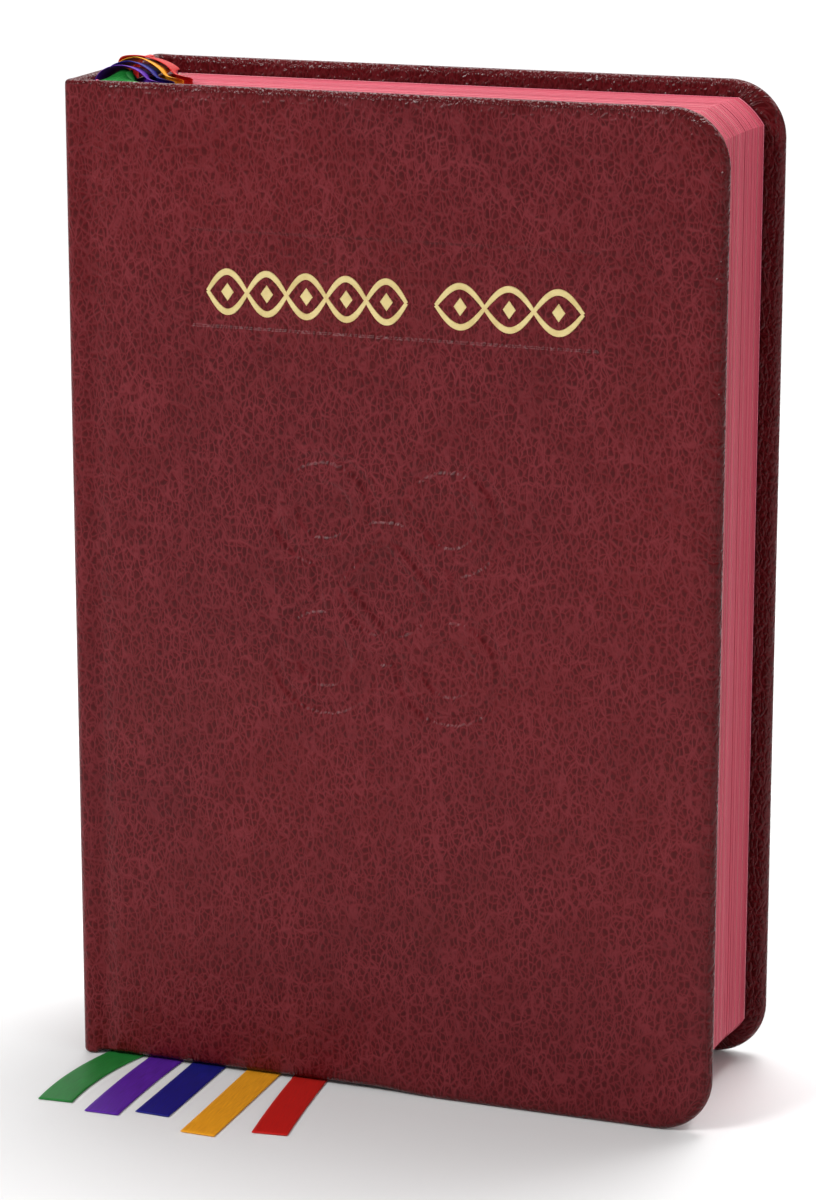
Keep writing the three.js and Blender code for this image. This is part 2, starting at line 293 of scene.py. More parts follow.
def leather_material():
    """Maroon goatskin: small dark pits in a paler net, upright creases, glossier worn rims, with painted
    shade darkening the rims and the rolled edges.
    """
    n = Nodes("maroon_leather")
    place = n.attribute("grain")
    wear_and_shade = n.attribute("wear_and_shade", "Fac")
    drift = n.noise_colour(place, 420.0, 2.0)
    place = n.shifted(place, drift, 0.0011)
    fine = n.cells(n.scaled(place, (1.0, 0.62, 1.0)), 1180.0)
    long_cells = n.cells(n.scaled(place, (1.0, 0.38, 1.0)), 600.0)
    pits = n.between(fine, 0.09, 0.3)
    net = n.between(fine, 0.02, 0.13, 1.0, 0.0)
    crease = n.between(long_cells, 0.01, 0.1, 1.0, 0.0)
    fleck = n.noise(place, 1400.0, 2.0)
    mottle = n.noise(place, 110.0, 4.0)
    patch = n.noise(place, 14.0, 2.0)
    ground = n.mix(n.between(patch, 0.35, 0.65), (0.078, 0.0036, 0.0056), (0.097, 0.0044, 0.006))
    brown = n.between(n.noise(place, 22.0, 3.0), 0.5, 0.75, 0.0, 0.5)
    ground = n.mix(brown, ground, (0.083, 0.0065, 0.0055))
    pits = n.times(pits, n.between(fleck, 0.32, 0.6, 0.25, 1.0))
    colour = n.mix(n.times(pits, 0.62), ground, (0.036, 0.0012, 0.002))
    lines = n.maths("MAXIMUM", n.times(net, 0.6), n.times(crease, 0.8))
    lines = n.times(lines, n.between(mottle, 0.3, 0.7, 0.55, 1.0))
    colour = n.mix(lines, colour, (0.165, 0.018, 0.024))
    # Painted shade: the colour is darkened along the rim, the turn-in and the rolled edge band; the same
    # amount also gives real wear in gloss and grain.
    colour = n.mix(n.times(wear_and_shade, 0.62), colour, (0.046, 0.0018, 0.0022))
    rough = n.between(mottle, 0.2, 0.8, 0.32, 0.42)
    rough = n.maths("SUBTRACT", rough, n.times(wear_and_shade, 0.17))
    tall = n.maths("MULTIPLY_ADD", wear_and_shade, 1.6, 1.0)
    pebble = n.between(fine, 0.0, 0.3)
    hollow = n.between(long_cells, 0.0, 0.16)
    coarse = n.bump(n.times(hollow, tall), 0.00007, 0.6)
    normal = n.bump(n.times(pebble, tall), 0.00006, 0.7, coarse)
    return n.finish(colour, rough, normal, Specular_IOR_Level=0.15)


def stained_edge_material():
    """Page edges stained rose red: hair-thin leaf lines, a rare paler one, and painted shade darkening the
    gaps between leaves.
    """
    n = Nodes("rose_page_edges")
    place = n.place()
    lines = n.noise(n.scaled(place, (10.0, 5200.0, 10.0)), 1.0, 4.0, 0.75)
    broad = n.noise(n.scaled(place, (6.0, 900.0, 6.0)), 1.0, 2.0, 0.6)
    cloud = n.noise(place, 70.0, 3.0)
    colour = n.mix(n.between(lines, 0.34, 0.66), (0.4, 0.042, 0.076), (0.52, 0.068, 0.108))
    colour = n.mix(n.between(broad, 0.68, 0.78, 0.0, 0.6), colour, (0.72, 0.24, 0.3))
    colour = n.mix(n.between(cloud, 0.4, 0.75, 0.0, 0.3), colour, (0.43, 0.055, 0.09))
    # Painted shade: the gaps between the leaves are darkened in the colour.
    gap = n.attribute("leaf_gap_shade", "Fac")
    colour = n.mix(n.times(gap, 0.5), colour, (0.3, 0.03, 0.05))
    normal = n.bump(lines, 0.00004, 0.5)
    return n.finish(colour, n.between(lines, 0.2, 0.8, 0.5, 0.66), normal, Specular_IOR_Level=0.25)


def paper_material(name, tint):
    """Thin opaque paper with faint fibre clouds, a little of the stain bleeding in at its rim."""
    n = Nodes(name)
    place = n.place()
    cloud = n.noise(place, 70.0, 5.0, 0.6)
    fibre = n.noise(n.scaled(place, (1.0, 1.0, 0.35)), 1800.0, 3.0, 0.6)
    colour = n.mix(n.between(cloud, 0.3, 0.7), tint, tuple(0.92 * c for c in tint))
    bleed = n.attribute("rim", "Fac")
    colour = n.mix(n.times(bleed, 0.8), colour, (0.62, 0.16, 0.2))
    normal = n.bump(fibre, 0.00002, 0.35)
    return n.finish(colour, n.between(fibre, 0.3, 0.7, 0.72, 0.85), normal, Specular_IOR_Level=0.25)


def endpaper_material():
    """Plain cream endpaper whose cut edges took the stain, a little brighter than the leaves."""
    n = Nodes("endpaper")
    place = n.place()
    normals = n.make("TexCoord").outputs["Normal"]
    split = n.make("SeparateXYZ")
    n.link(normals, split.inputs[0])
    cut = n.between(n.maths("ABSOLUTE", split.outputs["Y"]), 0.6, 0.4)
    cloud = n.noise(place, 70.0, 5.0, 0.6)
    fibre = n.noise(place, 1800.0, 3.0, 0.6)
    paper = n.mix(n.between(cloud, 0.3, 0.7), (0.78, 0.7, 0.56), (0.71, 0.63, 0.5))
    colour = n.mix(cut, paper, (0.66, 0.1, 0.2))
    return n.finish(
        colour,
        n.between(fibre, 0.3, 0.7, 0.7, 0.85),
        n.bump(fibre, 0.00002, 0.35),
        Specular_IOR_Level=0.25,
    )


def satin_material(name, colour, shade):
    """Satin ribbon: fine cross ribs, long float threads and a firmer selvedge."""
    n = Nodes("satin_" + name)
    weave = n.attribute("weave")
    ribs = n.wave(n.scaled(weave, (0.0, 1.0, 0.0)), 900.0, 0.6, "Y")
    floats = n.noise(n.scaled(weave, (9000.0, 260.0, 1.0)), 1.0, 2.0, 0.6)
    edge = n.attribute("selvedge", "Fac")
    tone = n.between(floats, 0.3, 0.7, 0.0, 1.0)
    base = n.mix(tone, shade, colour)
    pale = tuple(min(1.0, 1.35 * c + 0.01) for c in colour)
    base = n.mix(n.times(edge, 0.35), base, pale)
    coarse = n.bump(ribs, 0.00004, 0.35)
    normal = n.bump(floats, 0.00002, 0.4, coarse)
    return n.finish(
        base,
        n.between(floats, 0.2, 0.8, 0.46, 0.58),
        normal,
        Specular_IOR_Level=0.16,
        Sheen_Weight=0.03,
        Sheen_Roughness=0.4,
        Anisotropic=0.35,
    )


def foil_material():
    """Pale stamped gold foil over grained leather."""
    n = Nodes("gold_foil")
    place = n.place()
    grain = n.noise(place, 900.0, 3.0)
    worn = n.noise(place, 300.0, 4.0)
    colour = n.mix(n.between(worn, 0.35, 0.75), (0.76, 0.62, 0.29), (0.64, 0.49, 0.2))
    normal = n.bump(grain, 0.00004, 0.4)
    return n.finish(colour, n.between(grain, 0.3, 0.7, 0.38, 0.5), normal, Metallic=0.75)


def card_material():
    """Grey flexible card with darker flecks."""
    n = Nodes("grey_card")
    place = n.place()
    fleck = n.noise(place, 900.0, 4.0, 0.7)
    colour = n.mix(n.between(fleck, 0.35, 0.7), (0.22, 0.2, 0.17), (0.36, 0.33, 0.28))
    return n.finish(colour, n.between(fleck, 0.3, 0.7, 0.85, 0.95), n.bump(fleck, 0.00004, 0.5))


def cloth_material():
    """Open cloth: warp and weft threads with darker gaps between."""
    n = Nodes("open_mull_cloth")
    place = n.place()
    warp = n.wave(place, 420.0, 0.3, "Z")
    weft = n.wave(place, 420.0, 0.3, "Y")
    threads = n.maths("MAXIMUM", warp, weft)
    colour = n.mix(n.between(threads, 0.5, 0.95), (0.36, 0.32, 0.24), (0.72, 0.68, 0.58))
    return n.finish(colour, n.between(threads, 0.3, 0.9, 0.95, 0.8), n.bump(threads, 0.00008, 0.6))


def headband_material():
    """Wound silk in turns of maroon and cream."""
    n = Nodes("headband_silk")
    place = n.place()
    turns = n.wave(place, 520.0, 0.15, "Y")
    colour = n.mix(n.between(turns, 0.35, 0.65), (0.32, 0.03, 0.045), (0.62, 0.5, 0.34))
    rough = n.between(turns, 0.2, 0.8, 0.5, 0.38)
    return n.finish(colour, rough, n.bump(turns, 0.00008, 0.5), Sheen_Weight=0.15)


def floor_material():
    """Pale matt floor."""
    n = Nodes("pale_floor")
    place = n.place()
    cloud = n.noise(place, 3.0, 2.0)
    colour = n.mix(cloud, (0.72, 0.72, 0.72), (0.74, 0.74, 0.74))
    return n.finish(colour, n.between(cloud, 0.3, 0.7, 0.6, 0.66), None, Specular_IOR_Level=0.2)


# ---------------- camera and light

# The view's fitted place: angles, the lens in millimetres, and lengths as shares of the cover's height.
# The drop is the lens's shift as a share of the picture.
VIEW_AZIMUTH = math.radians(19.29)
VIEW_ELEVATION = math.radians(13.32)
VIEW_DISTANCE = 3.6841
VIEW_TARGET = (0.3188, 0.1, 0.6059)
VIEW_LENS = 112.1622
VIEW_DROP = -0.1
SENSOR = 36.0

# Soft lights in metres and watts: place, what they are aimed at, size and power.
BOOK_MIDDLE = (0.0, 0.0, 0.09)
LIGHTS = {
    "key": ((-0.55, -0.8, 0.8), BOOK_MIDDLE, (0.35, 0.35), 10.5),
    "fill": ((0.95, -0.35, 0.4), BOOK_MIDDLE, (0.6, 0.6), 2.0),
    "top": ((0.1, 0.22, 0.95), BOOK_MIDDLE, (0.4, 0.4), 7.5),
    "backdrop": ((0.0, 2.6, 1.6), (0.0, 2.6, 0.0), (5.0, 3.0), 110.0),
}
WORLD_STRENGTH = 0.3
FLOOR_HALF = 3000.0
FLOOR_DROP = 0.02


def make_camera():
    data = bpy.data.cameras.new("camera")
    camera = bpy.data.objects.new("camera", data)
    bpy.context.scene.collection.objects.link(camera)
    data.sensor_width = SENSOR
    data.lens = VIEW_LENS
    data.shift_y = VIEW_DROP
    data.clip_start = 0.01
    data.clip_end = 10.0
    corner = Vector((SPINE_X, -FACE_Y, 0.0)) * MM
    target = corner + Vector(VIEW_TARGET) * HEIGHT * MM
    level = math.cos(VIEW_ELEVATION)
    sideways, forward = math.sin(VIEW_AZIMUTH) * level, -math.cos(VIEW_AZIMUTH) * level
    back = Vector((sideways, forward, math.sin(VIEW_ELEVATION)))
    camera.location = target + back * VIEW_DISTANCE * HEIGHT * MM
    camera.rotation_mode = "QUATERNION"
    camera.rotation_quaternion = (-back).to_track_quat("-Z", "Y")
    bpy.context.scene.camera = camera


def soft_light(name, place, aim, size, power):
    data = bpy.data.lights.new(name, "AREA")
    data.shape = "RECTANGLE"
    data.size = size[0]
    data.size_y = size[1]
    data.energy = power
    light = bpy.data.objects.new(name, data)
    light.location = place
    direction = Vector(aim) - Vector(place)
    light.rotation_euler = direction.to_track_quat("-Z", "Y").to_euler()
    bpy.context.scene.collection.objects.link(light)


def make_floor():
    far = FLOOR_HALF
    corners = [(-far, -far, 0), (far, -far, 0), (far, far, 0), (-far, far, 0)]
    floor = make_object("floor", corners, [(0, 1, 2, 3)])
    floor.location.z = -FLOOR_DROP * MM
    floor.data.materials.append(floor_material())


def make_studio():
    for name, (place, aim, size, power) in LIGHTS.items():
        soft_light(name, place, aim, size, power)
    world = bpy.data.worlds.new("studio")
    world.use_nodes = True
    background = world.node_tree.nodes["Background"]
    background.inputs["Color"].default_value = (1.0, 1.0, 1.0, 1.0)
    background.inputs["Strength"].default_value = WORLD_STRENGTH
    bpy.context.scene.world = world
    bpy.context.scene.view_settings.view_transform = "Standard"
    make_floor()


# ---------------- ribbon markers

RIBBON_WIDTH = 6.4
RIBBON_THICK = 0.2
RIBBON_ACROSS = 15
RIBBON_GLUE = 14.0
RIBBON_PITCH = 3.4
GLUE_MIDDLE = 3.6
RIBBON_SPINE_X = -56.06
SHINGLE = math.asin(0.6 / RIBBON_PITCH)
REST_Z = 0.185
ARCH_FOOT = 176.3
HANDLE = 0.42
ALONG_Y = np.array((0.0, 1.0, 0.0))
TOWARDS_SPINE = np.array((-1.0, 0.0, 0.0))

# Each marker's place in x at the head, at the tail and where it leaves the cover, its cut end, the top
# of its arch in x and z, the heights where its last drop begins and where it has turned edgewise, the
# angle of its raised rear edge over the arch, and its shift in y there.
NESTED = dict(drop=177.6, twisted=176.35, lean=0.0)
RIBBONS = [
    dict(name="green", head=-48.9, tail=-49.5, face=-51.6, end=(-54.2, -42.9),
         apex=(-51.7, 177.5), drop=177.05, twisted=175.95, lean=0.46, shift=-0.45),
    dict(name="purple", head=-47.6, tail=-42.4, face=-43.3, end=(-44.3, -45.3),
         apex=(-51.6, 179.2), shift=0.0, **NESTED),
    dict(name="blue", head=-47.05, tail=-34.4, face=-34.8, end=(-35.7, -42.9),
         apex=(-51.7, 179.5), shift=0.0, **NESTED),
    dict(name="gold", head=-46.5, tail=-23.9, face=-24.2, end=(-24.9, -48.3),
         apex=(-51.8, 179.8), shift=0.0, **NESTED),
    dict(name="red", head=-45.95, tail=-15.6, face=-15.1, end=(-13.1, -44.2),
         apex=(-51.9, 180.1), shift=-2.9, **NESTED),
]

RIBBON_TONES = {
    "green": ((0.016, 0.2, 0.035), (0.007, 0.12, 0.016)),
    "purple": ((0.1, 0.012, 0.33), (0.06, 0.006, 0.2)),
    "blue": ((0.007, 0.006, 0.2), (0.003, 0.003, 0.11)),
    "gold": ((0.8, 0.34, 0.012), (0.6, 0.23, 0.005)),
    "red": ((0.5, 0.009, 0.005), (0.38, 0.004, 0.003)),
}


def opening_y(index):
    """The middle of the opening between two sections that holds this ribbon."""
    front = section_box(MOVING_SECTIONS + index)[1][1]
    back = section_box(MOVING_SECTIONS + index + 1)[0][1]
    return (front + back) / 2


def lying_point(points, t):
    """A smooth curve through three points, from the first at t = 0 to the last at t = 1."""
    first, middle, last = (np.array(p, float) for p in points)
    reach = np.linalg.norm(middle - first)
    share = reach / (reach + np.linalg.norm(last - middle))
    a = (t - share) * (t - 1) / share
    b = t * (t - 1) / (share * (share - 1))
    c = t * (t - share) / (1 - share)
    return a * first + b * middle + c * last


def arch_profile(ribbon):
    """The way over the head as (x, z, part): straight rise, quarter turn, slope, and last drop."""
    apex_x, apex_z = ribbon["apex"]
    head, drop = ribbon["head"], ribbon["drop"]
    points = [(RIBBON_SPINE_X, z, 0.0) for z in np.linspace(HEAD_Z, ARCH_FOOT, 5)[:-1]]
    for t in np.linspace(0, 1, 31)[:-1]:
        turn = math.pi / 2 * t
        x = apex_x + (RIBBON_SPINE_X - apex_x) * math.cos(turn)
        points.append((x, ARCH_FOOT + (apex_z - ARCH_FOOT) * math.sin(turn), t))
    for t in np.linspace(0, 1, 31)[:-1]:
        b0, b1, b2, b3 = (1 - t) ** 3, 3 * t * (1 - t) ** 2, 3 * t * t * (1 - t), t**3
        x = (b0 + b1) * apex_x + (b2 + b3) * head + b1 * HANDLE * (head - apex_x)
        z = (b0 + b1) * apex_z + (b2 + b3) * drop + b2 * HANDLE * (apex_z - drop)
        points.append((x, z, 1.0 + t))
    for t in np.linspace(0, 1, 16):
        points.append((head, drop + (HEAD_Z - drop) * t, 2.0 + t))
    return np.array(points)


def over_the_head(ribbon, glue_y, gap_y):
    """Centres and width directions of the arch: the rear ribbons lie outside the front ones."""
    profile = arch_profile(ribbon)
    tangent = unit(np.gradient(profile[:, :2], axis=0))
    leans = ribbon["lean"] > 0
    settle = (1.6, 2.3) if leans else (0.9, 1.75)
    centres, widths = [], []
    for (x, z, part), (run_x, run_z) in zip(profile, tangent):
        hump = math.sin(math.pi * min(part / 2, 1.0)) ** 3
        turn = SHINGLE - (SHINGLE + ribbon["lean"]) * hump * leans
        if part > 1.5:
            turn += (math.pi / 2 - turn) * float(smoothstep(ribbon["drop"] + 0.3, ribbon["twisted"], z))
        outside = np.array((-run_z, 0.0, run_x))
        top_y = glue_y + ribbon["shift"] * float(smoothstep(0.35, 1.0, part))
        y = top_y + (gap_y - top_y) * float(smoothstep(*settle, part))
        centres.append((x, y, z))
        widths.append(ALONG_Y * math.cos(turn) - math.sin(turn) * outside)
    return centres, widths


def down_to_the_table(ribbon, gap_y):
    """Centres from the head down between two sections, round the tail and out to the cut end."""
    centres = []
    for t in np.linspace(0, 1, 60)[1:]:
        ease = t * t * (3 - 2 * t)
        x = ribbon["head"] + (ribbon["tail"] - ribbon["head"]) * ease
        centres.append((x, gap_y, HEAD_Z + (TAIL_Z - HEAD_Z) * t))
    bend = TAIL_Z - REST_Z
    for angle in np.linspace(0, math.pi / 2, 12)[1:]:
        y = gap_y - bend * (1 - math.cos(angle))
        centres.append((ribbon["tail"], y, TAIL_Z - bend * math.sin(angle)))
    stops = [centres[-1], (ribbon["face"], -FACE_Y, REST_Z), (*ribbon["end"], REST_Z)]
    for t in np.linspace(0, 1, 50)[1:]:
        centres.append(tuple(lying_point(stops, t)))
    return centres


def ribbon_route(ribbon, index):
    """Centre points and width directions, from the glued end to the cut end on the table."""
    glue_y = (index - GLUE_MIDDLE) * RIBBON_PITCH
    gap_y = opening_y(index)
    centres = []
    for t in np.linspace(0, 1, 8)[:-1]:
        centres.append((RIBBON_SPINE_X, glue_y, HEAD_Z - RIBBON_GLUE * (1 - t)))
    widths = [np.array((math.sin(SHINGLE), math.cos(SHINGLE), 0.0))] * len(centres)
    arch, arch_widths = over_the_head(ribbon, glue_y, gap_y)
    rest = down_to_the_table(ribbon, gap_y)
    centres += arch + rest
    widths += arch_widths + [TOWARDS_SPINE] * len(rest)
    return np.array(centres, float), np.array(widths, float)


def ribbon_section():
    """The ribbon's outline as shares of its half width and its thickness, with a bead at each edge."""
    across = np.linspace(-1, 1, RIBBON_ACROSS)
    bead = 1.0 + 0.35 * smoothstep(0.86, 0.95, np.abs(across))
    bead[[0, -1]] = 0.35
    front = [(a, 0.5 * b) for a, b in zip(across, bead)]
    return front + [(a, -0.5 * b) for a, b in zip(across[::-1], bead[::-1])]


def make_ribbon(ribbon, index):
    centres, widths = ribbon_route(ribbon, index)
    steps = np.linalg.norm(np.diff(centres, axis=0), axis=1)
    along = np.concatenate([[0.0], np.cumsum(steps)])
    tangent = unit(np.gradient(centres, axis=0))
    side = unit(widths - (widths * tangent).sum(1)[:, None] * tangent)
    normal = np.cross(tangent, side)
    section = ribbon_section()
    points, weave, selvedge = [], [], []
    for centre, to_edge, up, run in zip(centres, side, normal, along):
        for a, b in section:
            points.append(centre + to_edge * a * RIBBON_WIDTH / 2 + up * b * RIBBON_THICK)
            weave.append((a * RIBBON_WIDTH / 2 * MM, run * MM, 0.0))
            selvedge.append(float(smoothstep(0.85, 0.93, abs(a))))
    count = len(section)
    faces = tube_faces(len(centres), count) + end_caps(len(centres), count)
    obj = make_object("ribbon_marker_" + ribbon["name"], points, faces)
    outward(obj)
    point_vector(obj, "weave", weave)
    point_value(obj, "selvedge", selvedge)
    obj.data.materials.append(satin_material(ribbon["name"], *RIBBON_TONES[ribbon["name"]]))
    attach(obj, "book_block")
    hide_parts("ribbon_" + ribbon["name"])


# ---------------- leather case

# The front face: a title panel and a blind rosette, given as x and z ranges, places and radii.
PANEL_X = (-35.5, 37.4)
PANEL_Z = (136.7, 153.4)
PANEL_DEPTH = 0.32
PANEL_MARGIN = 0.4
EMBLEM_MIDDLE = (0.0, 92.6)
EMBLEM_X = (-23.0, 23.0)
EMBLEM_Z = (68.0, 118.0)
PETAL_PLACE = (11.4, 13.2)
PETAL_RADIUS = 10.0
HEART_RADIUS = 13.6
EMBLEM_STEPS = ((0.0, 0.34), (-1.7, -0.34), (-5.0, 0.34))
LOZENGE = 7.0
LOZENGE_SLOPE = 0.9
LOZENGE_MARGIN = 2.0
STEP_HALF = 0.24
EDGE_ROLL = 0.55
EDGE_ROLL_WIDTH = 6.0
EDGE_ROLL_ENDS = 1.6

# The joint: a groove beside the spine, and the x ranges where the skin gets thicker on either side of it.
JOINT_EDGE_X = -50.0
GROOVE_X = -54.1
GROOVE_DEPTH = 0.7
GROOVE_HALF = 1.9
BOARD_RAMP_X = (-53.4, -51.6)
CORNER_RAMP_X = (-55.6, -57.0)
SPINE_RAMP = 1.5

# The tail edge of the front cover rises a little over the ribbons.
LIFT = 0.7
LIFT_FULL_X = -4.0
LIFT_RAMP = 14.0
LIFT_JOINT_X = (-56.8, -55.2)
LIFT_HEIGHT = 16.0

# The turned-in leather: insets from the edge with their shares of the corner folds, then the hidden inside.
RIM_STEPS = 12
TURN_IN = ((0.9, 0.8), (1.8, 1.0), (2.6, 0.8), (3.2, 0.3), (3.6, 0.0), (6.0, 0.0), (7.6, 0.0))
TURN_IN_END = 7.7
LIFT_INSET = 3.4
FLAT_INSET = 3.5
FLAT_SINK = 0.04
FOLD_HEIGHT = 0.3
FOLD_MIN_THICK = 2.3
FLAP_THICK = 0.24
RETURN_SINK = 0.02
RETURN_OUT = (0.15, 0.2)
RETURN_LIFT = 0.3


def relief(x, z):
    """How deep the front cover's face is pressed at a place: a panel and a blind rosette."""
    panel_x = np.minimum(x - PANEL_X[0], PANEL_X[1] - x)
    panel_z = np.minimum(z - PANEL_Z[0], PANEL_Z[1] - z)
    panel = smoothstep(-STEP_HALF, STEP_HALF, np.minimum(panel_x, panel_z)) * PANEL_DEPTH
    dx, dz = np.abs(x - EMBLEM_MIDDLE[0]), np.abs(z - EMBLEM_MIDDLE[1])
    petals = np.hypot(dx - PETAL_PLACE[0], dz - PETAL_PLACE[1]) - PETAL_RADIUS
    reach = np.minimum(petals, np.hypot(dx, dz) - HEART_RADIUS)
    rosette = np.zeros_like(x)
    for inset, depth in EMBLEM_STEPS:
        rosette += depth * smoothstep(STEP_HALF, -STEP_HALF, reach - inset)
    around = dx + LOZENGE_SLOPE * dz - LOZENGE
    clear = smoothstep(-STEP_HALF, STEP_HALF, around - LOZENGE_MARGIN)
    rosette = rosette * clear + EMBLEM_STEPS[0][1] * smoothstep(STEP_HALF, -STEP_HALF, around)
    return panel + rosette


def edge_roll(x, z):
    """How far the face falls away towards the fore-edge, the head and the tail."""
    gap_x = FORE_X - x
    gap_z = np.minimum(z, HEIGHT - z)
    corner_x = np.clip(COVER_CORNER - gap_x, 0, None)
    corner_z = np.clip(COVER_CORNER - gap_z, 0, None)
    gap = np.where(
        (corner_x > 0) & (corner_z > 0),
        COVER_CORNER - np.hypot(corner_x, corner_z),
        np.minimum(gap_x, gap_z * EDGE_ROLL_ENDS),
    )
    return np.clip(1 - gap / EDGE_ROLL_WIDTH, 0, 1) ** 2


def ladder(*stops):
    """Places from stop to stop; each stop gives the spacing used up to the next one."""
    places = [stops[0][0]]
    for (start, gap), (end, _) in zip(stops[:-1], stops[1:]):
        count = max(1, round(abs(end - start) / gap))
        places += list(np.linspace(start, end, count + 1)[1:])
    return places


def cover_columns(side):
    """Places of the columns over a cover and its joint, closest where the front face has detail."""
    edge = FORE_X - COVER_THICK / 2
    if side < 0:
        left, right = PANEL_X
        places = ladder((edge, 0.55), (right + PANEL_MARGIN, 0.15), (right - PANEL_MARGIN, 0.7),
                        (EMBLEM_X[1], 0.3), (EMBLEM_X[0], 0.7), (left + PANEL_MARGIN, 0.15),
                        (left - PANEL_MARGIN, 0.7), (JOINT_EDGE_X, 0.0))
        seam_x = SPINE_X + SPINE_CORNER
    else:
        places = ladder((edge, 0.6), (45.0, 1.2), (JOINT_EDGE_X, 0.0))
        seam_x = SPINE_X + SPINE_CORNER + SEAM_GAP
    return places + list(np.linspace(JOINT_EDGE_X, seam_x, 34)[1:])


def spine_corner(side, angles):
    """Plan points and inward directions round one corner of the spine."""
    middle_x, middle_y = SPINE_X + SPINE_CORNER, side * (FACE_Y - SPINE_CORNER)
    rows = []
    for angle in angles:
        to_spine, to_face = math.sin(angle), side * math.cos(angle)
        x, y = middle_x - SPINE_CORNER * to_spine, middle_y + SPINE_CORNER * to_face
        rows.append((x, y, to_spine, -to_face))
    return rows


def case_columns(side):
    """Plan points of the outer skin with their inward directions, from fore-edge to seam."""
    rows = [(x, side * FACE_Y, 0.0, -side) for x in cover_columns(side)]
    if side < 0:
        quarter = np.linspace(0, math.pi / 2, 9)
        reach = FACE_Y - SPINE_CORNER
        rows += spine_corner(-1, quarter[1:])
        rows += [(SPINE_X, y, 1.0, 0.0) for y in np.linspace(-reach, reach, 40)[1:]]
        rows += spine_corner(1, quarter[-2::-1])
    return np.array(rows, float)


def case_rows(side):
    """Heights of the outer skin's rows, before its ends are rounded."""
    band = 12.0
    if side > 0:
        return np.array(ladder((0.0, 0.6), (band, 1.2), (HEIGHT - band, 0.6), (HEIGHT, 0.0)))
    low, high = PANEL_Z
    return np.array(
        ladder((0.0, 0.5), (band, 0.9), (EMBLEM_Z[0], 0.3), (EMBLEM_Z[1], 0.9), (low - PANEL_MARGIN, 0.15),
               (low + PANEL_MARGIN, 0.8), (high - PANEL_MARGIN, 0.15), (high + PANEL_MARGIN, 0.9),
               (HEIGHT - band, 0.5), (HEIGHT, 0.0))
    )


def case_thickness(x, y, on_cover, groove):
    """Thickness of each column: a cover with its board, the thin joint, the spine and its corners."""
    straight = FACE_Y - SPINE_CORNER
    spine = (SPINE_THICK - CORNER_THICK) * smoothstep(straight, straight - SPINE_RAMP, np.abs(y))
    board = (COVER_THICK - groove - JOINT_THICK) * smoothstep(*BOARD_RAMP_X, x)
    corner = (CORNER_THICK - JOINT_THICK) * smoothstep(*CORNER_RAMP_X, x)
    return np.where(on_cover, JOINT_THICK + board + corner, CORNER_THICK + spine)


def rounded_grid(x, rows, thick, on_cover):
    """Places in x and z of the outer skin's points, bent to the cover's round corners."""
    ends = np.clip(1 - np.minimum(rows, HEIGHT - rows) / COVER_CORNER, 0, 1)
    ends = ends * np.where(rows < HEIGHT / 2, 1, -1)
    up = rows[:, None] + thick / 2 * ends[:, None]
    across = np.tile(x, (len(rows), 1))
    inner = COVER_CORNER - COVER_THICK / 2
    corner_x, corner_z = FORE_X - COVER_CORNER, HEIGHT - COVER_CORNER
    a = np.clip((across - corner_x) / inner, 0, 1) * on_cover
    b = np.clip(np.maximum(up - corner_z, COVER_CORNER - up) / inner, 0, 1)
    in_corner = (a > 0) & (b > 0)
    out_x = inner * a * np.sqrt(1 - b * b / 2)
    out_z = inner * b * np.sqrt(1 - a * a / 2)
    round_z = np.where(up > HEIGHT / 2, corner_z + out_z, COVER_CORNER - out_z)
    return np.where(in_corner, corner_x + out_x, across), np.where(in_corner, round_z, up)


def rim_path(nrows, ncols):
    """Rows and columns of the rim: from the seam along the tail, up the fore-edge, back along the head."""
    path = [(0, c) for c in range(ncols - 1, -1, -1)]
    path += [(r, 0) for r in range(1, nrows)]
    path += [(nrows - 1, c) for c in range(1, ncols)]
    return np.array(path).T


def rim_directions(places, rows, columns, on_cover):
    """Outward direction at each place of the rim, and its share of the way round a corner."""
    corner_x, corner_z, tiny = FORE_X - COVER_CORNER, HEIGHT - COVER_CORNER, 1e-6
    directions, shares = [], []
    for (x, _, z), r, c in zip(places, rows, columns):
        share = 0.0
        if on_cover[c] and x > corner_x + tiny and not COVER_CORNER - tiny <= z <= corner_z + tiny:
            away = np.array((x - corner_x, 0.0, z - (corner_z if z > corner_z else COVER_CORNER)))
            direction = away / np.linalg.norm(away)
            share = math.atan2(abs(away[2]), away[0]) / (math.pi / 2)
        elif c == 0 and 0 < r < rows[-1]:
            direction = (1.0, 0.0, 0.0)
        else:
            direction = (0.0, 0.0, 1.0 if r > 0 else -1.0)
        directions.append(direction)
        shares.append(share)
    return np.array(directions), np.array(shares)


def corner_folds(share):
    """Height, from 0 to 1, of the folds that gather the leather round a corner."""
    folds = 0.5 + 0.5 * np.sin(share * 41.0 + 1.7 * np.sin(share * 13.0))
    in_arc = (share > 0.02) & (share < 0.98)
    return np.where(in_arc, folds * np.sin(np.pi * share) ** 0.4, 0.0)


def rim_rings(width, depth, folds):
    """Rings from the face over the rim to the hidden inside: offset, depth, wear with painted shade, and
    share of the lift.
    """
    same = np.ones(len(width))
    rings = []
    for angle in np.linspace(0, math.pi, RIM_STEPS + 1)[1:]:
        rings.append((width / 2 * math.sin(angle), depth * ((1 - math.cos(angle)) / 2), 0.8, 1.0))
    for inset, share in TURN_IN:
        fold = FOLD_HEIGHT * share * folds * (width > FOLD_MIN_THICK)
        down = depth + fold - FLAT_SINK * (inset > FLAT_INSET)
        rings.append((-inset * same, down, 0.7, max(0.0, 1 - inset / LIFT_INSET)))
    rings.append((-TURN_IN_END * same, depth - FLAP_THICK, 0.0, 0.0))
    rings.append((RETURN_OUT[0] * same, depth - FLAP_THICK - RETURN_SINK, 0.0, RETURN_LIFT))
    rings.append((RETURN_OUT[1] * same, LEATHER - (width - depth), 0.0, RETURN_LIFT))
    return rings


